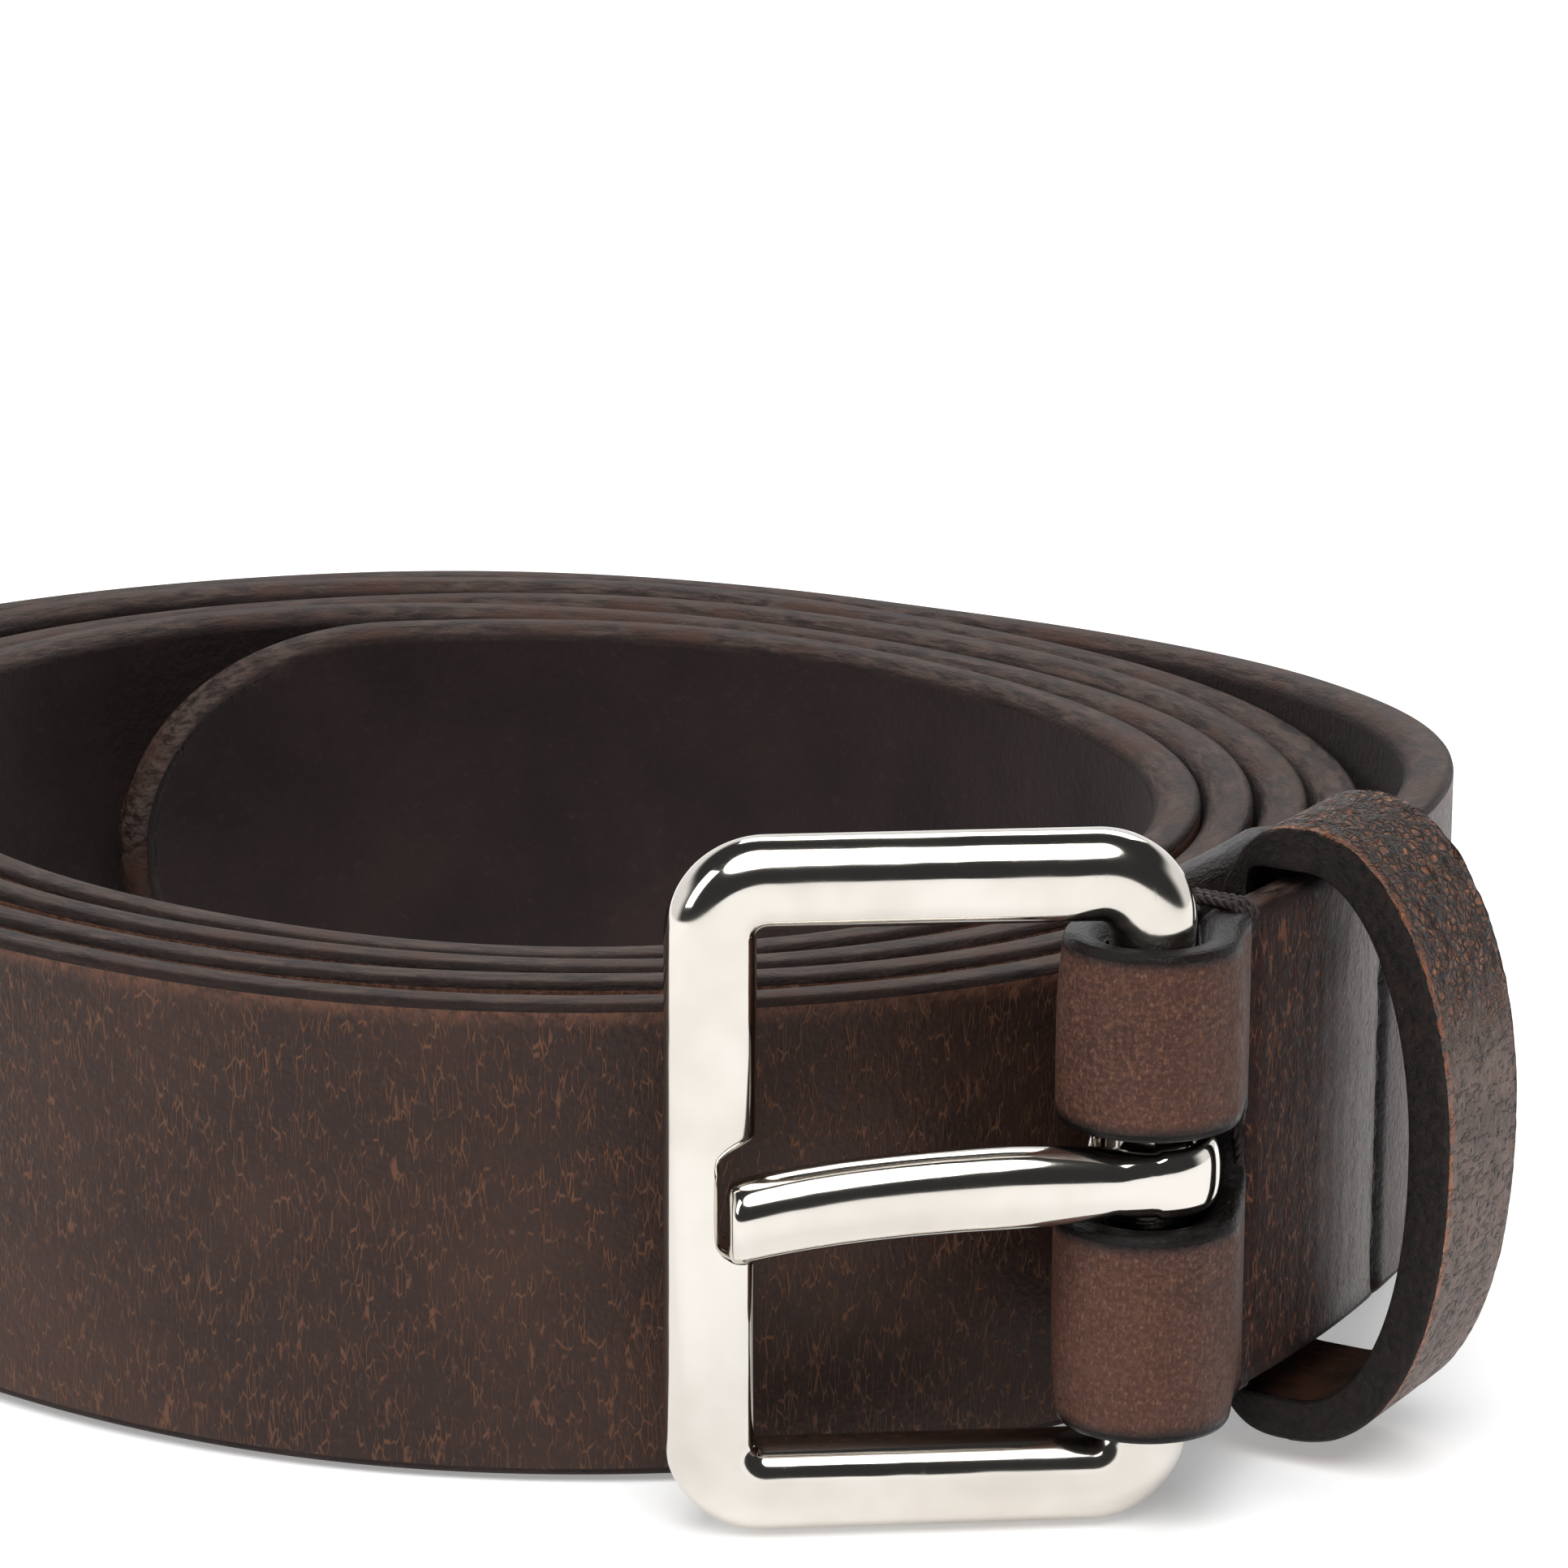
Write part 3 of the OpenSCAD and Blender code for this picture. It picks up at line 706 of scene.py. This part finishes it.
def strap_grid():
    """Points along and across the strap, closer together near the buckle, split by the slot."""
    n = 13                                   # columns on each side of the middle
    tip = TIP_LEN * (1 - np.cos(np.linspace(4, 90, 26) * DEG))
    s = np.concatenate([tip, np.arange(TIP_LEN + 1.0, ROW_1 - 60, 1.0),
                        np.arange(ROW_1 - 60 + 0.6, ROW_1 - 20, 0.6),
                        np.arange(ROW_1 - 20 + 0.3, STRAP_LEN - 1e-6, 0.3), [STRAP_LEN]])
    half = half_width(s)
    # The prong's slot is measured along the fold's own axis
    q = np.stack([at(s, path[:, 0]), at(s, path[:, 1])], -1) - HEEL
    ahead = q @ heading(PINCH_DIR)
    r = SLOT_H / 2
    wrapped = (s > ROW_1 - 1.0) & (s < STRAP_LEN - TAIL_LEN + 1.0)
    slot = np.sqrt(np.clip(r * r - np.maximum(ahead - SLOT_END, 0) ** 2, 0, None)) * wrapped
    span = s[slot > 0][[0, -1]]
    middle = SLOT_LIFT * (1 - smooth(past(s, span) / 4))
    frac = np.linspace(0, 1, n + 1)
    low = -half[:, None] + (half - slot + middle)[:, None] * frac
    high = half[:, None] - (half - slot - middle)[:, None] * frac
    V = np.concatenate([low, high[:, ::-1]], 1)
    S = np.repeat(s[:, None], V.shape[1], 1)
    cells = np.ones((len(s) - 1, V.shape[1] - 1), bool)
    cells[:, n] = False
    return S, V, cells, (n, slot <= 1e-9), span


def past(s, span):
    """How far s lies outside the span."""
    return np.maximum(np.maximum(span[0] - s, s - span[1]), 0)


def make_strap():
    S, V, cells, same, span = strap_grid()
    rim = [(0.45, 1.0), (0.22, 0.95), (0.06, 0.84), (0.0, 0.66), (0.0, 0.3), (0.0, 0.0),
           (0.06, -0.3), (0.3, -0.62), (0.62, -0.9), (0.85, -1.0)]

    def leather_field(s, v, w):
        return np.stack([s, v, w * STRAP_T / 2], -1) / 1000

    def zone_field(s, v, w):
        to_slot = np.hypot(past(s, span), np.maximum(abs(v - SLOT_LIFT) - SLOT_H / 2, 0))
        edge = np.minimum(np.minimum(half_width(s) - abs(v), s + 0.5), to_slot)
        fold = smooth((s - ROW_1 + 0.3) / 0.5)
        between = smooth((s - ROW_2) / 1.5) * (1 - fold)
        return np.stack([fold, between, np.clip(edge, 0, 20) / 1000], -1)

    obj = leather("strap_leather", S, V, cells, same, place_strap, rim,
                  {"leather": leather_field, "zone": zone_field},
                  [grain_material(), flesh_material(), edge_material()])
    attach(obj, "strap")
    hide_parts("strap")


# -------------------------------------------------------------------------------------- keeper
KEEPER_AT, KEEPER_W, KEEPER_T, KEEPER_OUT, KEEPER_H = 9.3, 9.0, 2.2, 9.7, 32.2
KEEPER_SLACK, KEEPER_CROWN, KEEPER_FOOT = 0.45, 1.5, 1.1
KEEPER_BACK = -(STRAP_T / 2 + KEEPER_SLACK + KEEPER_T)
WIRE_R = 0.3
keeper_t0 = run_t(KEEPER_AT)
keeper_way = -run_way(keeper_t0)[0]
KEEPER_DIR = math.atan2(keeper_way[1], keeper_way[0]) / DEG
keeper_mid = run_point(keeper_t0)[0]


def keeper_face(a, inset, square):
    """One face of the band at angle a from -180 to 180, as (outward, height)."""
    c, s = np.cos(a * DEG), np.sin(a * DEG)
    front = c >= 0
    e = np.where(front, np.where(a < 0, 2 / 2.3, 1.0), 2 / square)
    reach = np.where(front, KEEPER_OUT - KEEPER_CROWN, KEEPER_CROWN - KEEPER_BACK) - inset
    n = KEEPER_CROWN + reach * np.sign(c) * abs(c) ** e
    z = (KEEPER_H / 2 - inset) * np.sign(s) * abs(s) ** e
    return np.stack([n, z], -1)


def keeper_lines():
    """Middle line and half thickness round the band, evenly spaced, from its closing joint."""
    a = np.linspace(-180.0 + 0.2, 180.0 - 0.2, 1400)
    outer, inner = keeper_face(a, 0, 3), keeper_face(a, KEEPER_T, 14)
    mid = (outer + inner) / 2
    s = np.r_[0, np.cumsum(np.linalg.norm(np.diff(mid, axis=0), axis=1))]
    return s, outer, inner


ks, k_outer, k_inner = keeper_lines()


def place_keeper(s, v, w):
    """The band's surface: s round it, v across it, w from -1 (inside) to 1 (outside)."""
    o = np.stack([np.interp(s, ks, k_outer[:, k]) for k in (0, 1)], -1)
    i = np.stack([np.interp(s, ks, k_inner[:, k]) for k in (0, 1)], -1)
    away = unit(o - i + 1e-9)
    p = i + (o - i) * ((w + 1) / 2)[:, None]
    coarse = keeper_coarse(s)
    lumps = np.array([noise.noise(Vector((a * 0.85, b * 1.5, 3.0))) * 0.5
                      + noise.noise(Vector((a * 2.3, b * 3.4, 7.0))) * 0.35
                      for a, b in zip(s, v)])
    p = p + away * (np.clip(w, 0, 1) * lumps * (0.05 + 0.13 * coarse))[:, None]
    n2, h2 = right_of(KEEPER_DIR), heading(KEEPER_DIR)
    xy = keeper_mid + p[:, :1] * n2 + (v * (1 + 0.02 * np.sin(s / 6)))[:, None] * h2
    return to_world(np.c_[xy, KEEPER_FOOT + KEEPER_H / 2 + p[:, 1]])


def keeper_coarse(s):
    """1 on the band's wrinkled shoulder, 0 elsewhere."""
    x = s / ks[-1]
    return smooth((x - 0.56) / 0.08) * smooth((0.9 - x) / 0.08)


def make_keeper():
    rows = np.linspace(0, ks[-1], 400)
    cols = np.linspace(-KEEPER_W / 2, KEEPER_W / 2, 44)
    S, V = np.meshgrid(rows, cols, indexing="ij")
    rim = [(0.3, 1.0), (0.12, 0.96), (0.02, 0.84), (0.0, 0.5), (0.03, 0.0), (0.0, -0.5),
           (0.04, -0.88), (0.25, -1.0)]

    def leather_field(s, v, w):
        return np.stack([s, v, w * KEEPER_T / 2], -1) / 1000

    def zone_field(s, v, w):
        return np.stack([keeper_coarse(s), 0 * s, 0 * s], -1)

    cells = np.ones((len(rows) - 1, len(cols) - 1), bool)
    obj = leather("keeper_band", S, V, cells, None, place_keeper, rim,
                  {"leather": leather_field, "zone": zone_field},
                  [pebble_material(), suede_material(), keeper_edge_material()])
    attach(obj, "keeper")
    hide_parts("keeper_loop")


def keeper_space(n, along, z):
    """A point n outward from the band's middle, along the strap and z up."""
    xy = keeper_mid + n * right_of(KEEPER_DIR) + along * heading(KEEPER_DIR)
    return np.array([xy[0], xy[1], KEEPER_FOOT + KEEPER_H / 2 + z])


def make_staple():
    face = KEEPER_BACK + KEEPER_T
    pts = [(face - 1.5, -2.2), (face - 0.4, -2.2), (face - 0.15, -2.05), (face - 0.1, -1.8)]
    pts += [(n, -z) for n, z in pts[::-1]]
    line = [keeper_space(n, 0, z) for n, z in pts]
    rings = np.array(tube_rings(line, WIRE_R, 10, (1, 0, 0)))
    obj = swept("keeper_staple_wire", to_world(rings), steel_material())
    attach(obj, "keeper")
    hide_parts("keeper_staple")


# ------------------------------------------------------------------------------------ stitches
THREAD_R = 0.27
STITCHES, STITCH_STEP = 7, 3.0
ROW_LEN = STITCHES * STITCH_STEP


def stitch_row(name, node, d, sunk, over_top):
    """One row of saddle stitches, each dipping into the leather at its ends."""
    t = run_t(d)
    p = run_point(t)[0]
    way = -run_way(t)[0]
    a = math.atan2(way[1], way[0]) / DEG
    out = right_of(a)
    thick = float(tail_thick(d))
    back = STRAP_T / 2 + SKIN + thick
    low = float(rise(d)) + (STRAP_W - ROW_LEN) / 2
    verts, faces = [], []

    def add(points):
        v, f = thread_mesh(points, THREAD_R)
        base = len(verts)
        verts.extend(v)
        faces.extend([[base + i for i in g] for g in f])

    def space(n, z, along=0.0):
        xy = p + n * out + along * heading(a)
        return (xy[0], xy[1], z)

    for i in range(STITCHES):
        z0 = low + i * STITCH_STEP + 0.1
        z1 = z0 + STITCH_STEP - 0.2
        for face, side in ((STRAP_T / 2 - sunk, 1), (-back, -1)):
            deep = face - side * 0.7
            add([space(deep, z0), space(face - side * 0.1, z0 + 0.15),
                 space(face + side * 0.12, z0 + 0.6), space(face + side * 0.16, (z0 + z1) / 2),
                 space(face + side * 0.12, z1 - 0.6), space(face - side * 0.1, z1 - 0.15),
                 space(deep, z1)])
    if over_top:
        for end, side in ((low + ROW_LEN, 1), (low, -1)):
            rim = float(rise(d)) + (STRAP_W if side > 0 else 0)
            for shift in (-0.3, 0.28, 0.75):
                add([space(STRAP_T / 2 - 0.5, end + side * 0.1, shift * 0.3),
                     space(STRAP_T / 2 - 0.05, rim - side * 1.0, shift * 0.7),
                     space(STRAP_T / 2 - 0.12, rim - side * 0.25, shift),
                     space(STRAP_T / 2 - 0.8, rim + side * 0.22, shift),
                     space(-0.9, rim + side * 0.25, shift * 0.9),
                     space(-back + 0.7, rim + side * 0.22, shift * 0.8),
                     space(-back - 0.1, rim - side * 0.5, shift * 0.7),
                     space(-back + 0.3, end + side * 0.1, shift * 0.3)])
    obj = new_object(name, to_world(np.array(verts)), faces, None, [thread_mat])
    clean(obj)
    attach(obj, "strap")
    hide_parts(node)


# -------------------------------------------------------------------------------------- buckle
BAR_R, DEPTH, CORNER = 2.25, 2.0, 2.7
FRAME_Z = BUCKLE_H / 2
NOTCH_H, NOTCH_Z, NOTCH_LEFT = 5.8, -0.25, 0.45


def frame_space(x, y, z):
    """The buckle's own axes: x to its front bar, y to its front, z up."""
    xy = (HEEL + np.multiply.outer(np.asarray(x, float), heading(BUCKLE_DIR))
          + np.multiply.outer(np.asarray(y, float), heading(BUCKLE_DIR + 90)))
    return np.concatenate([xy, np.asarray(z, float)[..., None] + FRAME_Z], -1)


def frame_outline():
    """Middle line round the frame, evenly enough spaced, with its outward direction."""
    top = FRAME_Z - BAR_R
    c = CORNER
    pts = []
    arcs = ((BUCKLE_REACH - c, top - c, 0), (c, top - c, 90),
            (c, c - top, 180), (BUCKLE_REACH - c, c - top, 270))
    for x, z, a0 in arcs:
        for a in np.linspace(a0, a0 + 90, 22):
            pts.append((x + c * math.cos(a * DEG), z + c * math.sin(a * DEG)))
    pts = np.array(pts + pts[:1])
    s = np.r_[0, np.cumsum(np.linalg.norm(np.diff(pts, axis=0), axis=1))]
    q = np.linspace(0, s[-1], 900, endpoint=False)
    line = np.stack([np.interp(q, s, pts[:, k]) for k in (0, 1)], 1)
    way = unit(np.roll(line, -1, 0) - np.roll(line, 1, 0))
    out = np.stack([way[:, 1], -way[:, 0]], -1)
    return line, out


def make_frame():
    line, out = frame_outline()
    top = FRAME_Z - BAR_R
    a = np.linspace(0, 2 * math.pi, 48, endpoint=False)
    rings = []
    for (x, z), (ox, oz) in zip(line, out):
        heel = float(smooth((BUCKLE_REACH * 0.25 - x) / (BUCKLE_REACH * 0.2))
                     * smooth((top - CORNER + 1.2 - abs(z)) / 2.4))
        # the outer half of the section is round and the inner half squarer
        power = np.where(np.cos(a) > 0, 2 / 2.1, 2 / (3.0 - heel))
        wide, deep = BAR_R + (HEEL_R - BAR_R) * heel, DEPTH + (HEEL_R - DEPTH) * heel
        off = wide * np.sign(np.cos(a)) * abs(np.cos(a)) ** power
        y = deep * np.sign(np.sin(a)) * abs(np.sin(a)) ** power
        if x > BUCKLE_REACH - 1 and abs(z) < 8:
            e = abs(z - NOTCH_Z) / (NOTCH_H / 2)
            cut = (BAR_R - NOTCH_LEFT) * float(smooth((1.12 - e) / 0.42))
            off = np.where(off < 0, off * (BAR_R - cut) / BAR_R, off)
        rings.append(frame_space(x + off * ox, y, z + off * oz))
    obj = swept("buckle_frame_cast", to_world(np.array(rings)), nickel, closed=True)
    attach(obj, "frame")
    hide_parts("buckle_frame")


PRONG_H, EYE_H, EYE_WALL = 4.1, 3.5, 1.45
PRONG_LIFT, PRONG_DROP, TIP_Y, BOW, SHAFT_BACK = 0.45, 1.35, 2.9, 0.9, 1.6
BORE_R = HEEL_R + 0.06
EYE_R = BORE_R + EYE_WALL
PRONG_END = BUCKLE_REACH - NOTCH_LEFT - 0.2
CURL_FROM = 335                          # azimuth of the curl's free end
BLUNT_FROM = 0.93                        # part of the shaft's length before its rounded end


def prong_rings():
    """Sections round the prong, from the end of its curl, round the heel bar, to its tip."""
    sections = []                # centre x, y, z, direction angle, half depth, half height
    wall, r_mid = EYE_WALL / 2, BORE_R + EYE_WALL / 2
    for k, a in enumerate(np.linspace(CURL_FROM, 90, 60, endpoint=False)):
        taper = float(smooth((CURL_FROM - a) / 60))
        end = min(1.0, 0.35 + k / 4)
        sections.append((r_mid * math.cos(a * DEG), r_mid * math.sin(a * DEG), 0.0, a - 90,
                         wall * (0.62 + 0.38 * taper) * end,
                         (EYE_H / 2) * (0.9 + 0.1 * taper) * (0.6 + 0.4 * end)))
    for s in np.linspace(0, BLUNT_FROM, 60):
        sections.append(shaft_section(s))
    for e in np.linspace(0.1, 1, 14):
        s = BLUNT_FROM + (1 - BLUNT_FROM) * math.sin(e * 90 * DEG)
        k = 0.25 + 0.75 * math.sqrt(1 - (0.94 * (1 - math.cos(e * 90 * DEG))) ** 2)
        x, y, z, a, d, h = shaft_section(s)
        sections.append((x, y, z, a, d * k, h * k))
    return sections


def shaft_section(s):
    """The section at s, from 0 over the heel bar to 1 at the tip."""
    x = PRONG_END * s
    start_y = EYE_R - SHAFT_BACK
    yc = start_y + (TIP_Y - start_y) * s + BOW * math.sin(math.pi * s ** 0.8)
    front, back = yc + SHAFT_BACK + 0.25 * s * s, yc - SHAFT_BACK - 0.25 * s * s
    if x < BORE_R:
        back = max(back, math.sqrt(BORE_R * BORE_R - x * x))
    z = 1.2 * s * (1 - s) - PRONG_DROP * s ** 3
    height = PRONG_H / 2 - (PRONG_H - EYE_H + 0.3) / 2 * float(smooth(1 - s / 0.35))
    return (x, (front + back) / 2, z, 0.0, (front - back) / 2, height)


def make_prong():
    rings = []
    a = np.linspace(0, 2 * math.pi, 40, endpoint=False)
    power = 2 / 2.35                     # a little squarer than round
    for x, y, z, turn, depth, height in prong_rings():
        c = depth * np.sign(np.cos(a)) * abs(np.cos(a)) ** power
        h = height * np.sign(np.sin(a)) * abs(np.sin(a)) ** power
        nx, ny = -math.sin(turn * DEG), math.cos(turn * DEG)
        rings.append(frame_space(x + c * nx, y + c * ny, z + h + PRONG_LIFT))
    obj = swept("prong_rod", to_world(np.array(rings)), nickel)
    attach(obj, "prong")
    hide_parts("prong")


nickel = nickel_material()
thread_mat = thread_material()
make_strap()
make_keeper()
make_staple()
stitch_row("stitches_front", "stitch_row_front", 0, 0.45, True)
stitch_row("stitches_rear", "stitch_row_rear", ROW_GAP, 0.8, False)
make_frame()
make_prong()

# ------------------------------------------------------------------------ floor, light, camera
FLOOR = 6.0                              # half its width
floor_mesh = bpy.data.meshes.new("floor")
floor_mesh.from_pydata([(-FLOOR, -FLOOR, 0), (FLOOR, -FLOOR, 0), (FLOOR, FLOOR, 0),
                        (-FLOOR, FLOOR, 0)], [], [[0, 1, 2, 3]])
floor_mesh.materials.append(floor_material())
floor = bpy.data.objects.new("floor", floor_mesh)
scene.collection.objects.link(floor)
floor.location.z = -0.0002

# The studio is dark overhead and in front, and has a white backdrop low down behind
world = bpy.data.worlds.new("studio")
world.use_nodes = True
nodes, links = world.node_tree.nodes, world.node_tree.links


def world_step(value, low, high, a, b):
    n = nodes.new("ShaderNodeMapRange")
    n.interpolation_type = "SMOOTHSTEP"
    links.new(value, n.inputs["Value"])
    for key, x in (("From Min", low), ("From Max", high), ("To Min", a), ("To Max", b)):
        n.inputs[key].default_value = x
    return n.outputs["Result"]


towards = nodes.new("ShaderNodeSeparateXYZ")
links.new(nodes.new("ShaderNodeTexCoord").outputs["Generated"], towards.inputs[0])
backdrop = nodes.new("ShaderNodeMath")
backdrop.operation = "MULTIPLY"
links.new(world_step(towards.outputs["Z"], 0.3, 0.6, 1.0, 0.0), backdrop.inputs[0])
links.new(world_step(towards.outputs["Y"], -0.35, 0.25, 0.0, 1.0), backdrop.inputs[1])
links.new(world_step(backdrop.outputs[0], 0.0, 1.0, 0.04, 1.0),
          nodes["Background"].inputs["Strength"])
nodes["Background"].inputs["Color"].default_value = (1, 1, 1, 1)
scene.world = world


def light(name, kind, power, place, aim):
    data = bpy.data.lights.new(name, kind)
    data.energy = power
    obj = bpy.data.objects.new(name, data)
    obj.location = place
    obj.rotation_euler = (Vector(aim) - Vector(place)).to_track_quat("-Z", "Y").to_euler()
    scene.collection.objects.link(obj)
    return data


def softbox(name, power, place, aim, wide, high):
    data = light(name, "AREA", power, place, aim)
    data.shape = "RECTANGLE"
    data.size, data.size_y = wide, high


light("overhead_softbox", "SUN", 2.6, (-0.03, -0.52, 1.0), (0, 0, 0)).angle = 52 * DEG
softbox("left_softbox", 5, (-1.1, -0.55, 0.75), (0, 0, 0.02), 0.5, 0.9)
softbox("back_softbox", 7, (0.2, 1.0, 0.9), (0, 0.3, 0.0), 1.0, 0.5)

# A long lens a third of a metre from the coil's axis, looking down at it
CAMERA_AT, LOOK_DOWN = (7.15, -335.40, 112.87), 14.557 * DEG
lens = bpy.data.cameras.new("camera")
lens.sensor_width = 36.0
lens.lens = 139.752
lens.shift_x, lens.shift_y = 0.07557, -0.01866
lens.clip_start = 0.01
camera = bpy.data.objects.new("camera", lens)
camera.location = to_world(CAMERA_AT)
camera.rotation_euler = (math.pi / 2 - LOOK_DOWN, 0, 0)
scene.collection.objects.link(camera)
scene.camera = camera
scene.view_settings.view_transform = "Standard"
